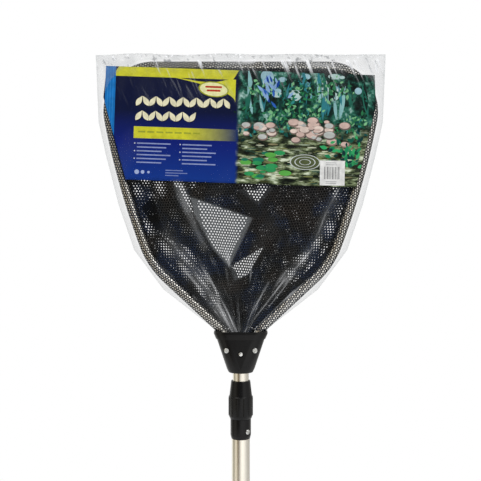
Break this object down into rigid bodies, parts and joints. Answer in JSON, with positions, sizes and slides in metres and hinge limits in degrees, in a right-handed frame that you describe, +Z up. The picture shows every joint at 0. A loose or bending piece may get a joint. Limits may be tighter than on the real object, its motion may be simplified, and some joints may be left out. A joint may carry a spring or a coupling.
{
  "type": "pond skimmer net",
  "caption": "Telescopic pond or pool skimmer net: bent tube hoop in a mesh hem, folded mesh bag, moulded yoke and twist-lock pole, still in its card and film wrapping.",
  "frame": {"origin": "middle of the hand grip, on the pole axis", "axes": "+Z up the pole towards the hoop, +X across the hoop to the right, +Y through the hoop to the back, so that the card side faces -Y"},
  "size_m": [0.4, 0.039, 1.0182],
  "materials": {
    "pole_aluminium": "satin drawn tube",
    "hoop_aluminium": "satin drawn tube",
    "grip_rubber": "ribbed moulded rubber",
    "black_plastic": "moulded, satin",
    "nylon": "natural nylon",
    "fastener_steel": "zinc plated",
    "net_mesh": "knitted mesh with round holes, rubber coated",
    "webbing": "woven binding tape",
    "card_print": null,
    "label_paper": "white paper sticker with plain bars",
    "clear_film": "clear film, creased"
  },
  "bodies": {
    "handle": {"outer_tube": "pole_aluminium", "hand_grip": "grip_rubber", "end_cap": "black_plastic", "collet_body": "black_plastic", "collar_screw": "fastener_steel"},
    "slider": {"guide_bush": "nylon"},
    "lock_ring": {"wedge_ring": "nylon"},
    "nut": {"lock_nut": "black_plastic"},
    "head": {"inner_tube": "pole_aluminium", "yoke_front": "black_plastic", "yoke_back": "black_plastic", "yoke_screws": "fastener_steel", "pole_rivet": "fastener_steel", "hoop_tube": "hoop_aluminium", "hem_sleeve": "net_mesh", "hem_tape": "webbing", "net_front": "net_mesh", "net_back": "net_mesh", "net_fold_left": "net_mesh", "net_fold_right": "net_mesh", "net_fold_back": "net_mesh", "seam_tape_left": "webbing", "seam_tape_right": "webbing", "bottom_strip": "webbing", "header_card": "card_print", "price_label": "label_paper", "bag_front_film": "clear_film", "bag_back_film": "clear_film"}
  },
  "joints": [
    {"name": "pole_slide", "type": "slide", "parent": "handle", "child": "slider", "axis": [0, 0, 1], "range_m": [-0.008, 0.27]},
    {"name": "pole_turn", "type": "hinge", "parent": "slider", "child": "head", "pos_m": [0, 0, 0.05], "axis": [0, 0, 1], "continuous": true},
    {"name": "nut_lift", "type": "slide", "parent": "handle", "child": "lock_ring", "axis": [0, 0, 1], "range_m": [0, 0.003]},
    {"name": "nut_turn", "type": "hinge", "parent": "lock_ring", "child": "nut", "pos_m": [0, 0, 0.43], "axis": [0, 0, 1], "range_deg": [0, 270]}
  ],
  "couplings": [
    {"joint": "nut_lift", "follows": "nut_turn", "m_per_rad": 0.000636}
  ]
}
